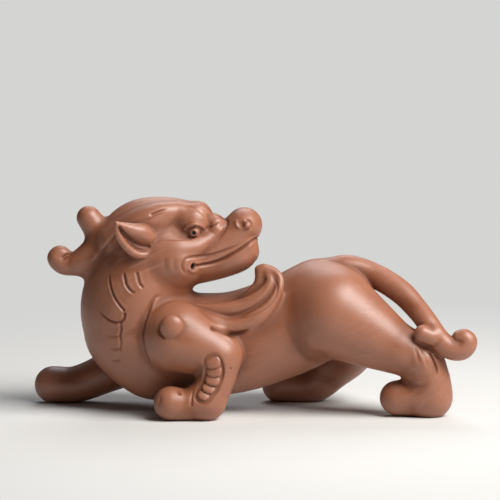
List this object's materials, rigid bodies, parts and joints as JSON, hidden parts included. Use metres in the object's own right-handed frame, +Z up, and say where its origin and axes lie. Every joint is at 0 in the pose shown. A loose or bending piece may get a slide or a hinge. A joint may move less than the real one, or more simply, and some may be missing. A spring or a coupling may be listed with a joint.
{
  "type": "tea pet figurine",
  "caption": "Unglazed clay tea pet: a crouching mythical beast that looks back over its shoulder, with curled mane, flame-like wings and an arched tail.",
  "frame": {"origin": "centre of the overall box at the surface that the figure stands on", "axes": "+Z up; the chest points along -X and the tail along +X; -Y is the near side, over which the head looks back"},
  "size_m": [0.1212, 0.0464, 0.0584],
  "materials": {
    "fired_clay": "unglazed, satin from burnishing and handling"
  },
  "bodies": {
    "root": {"tea_pet": "fired_clay"}
  },
  "joints": []
}
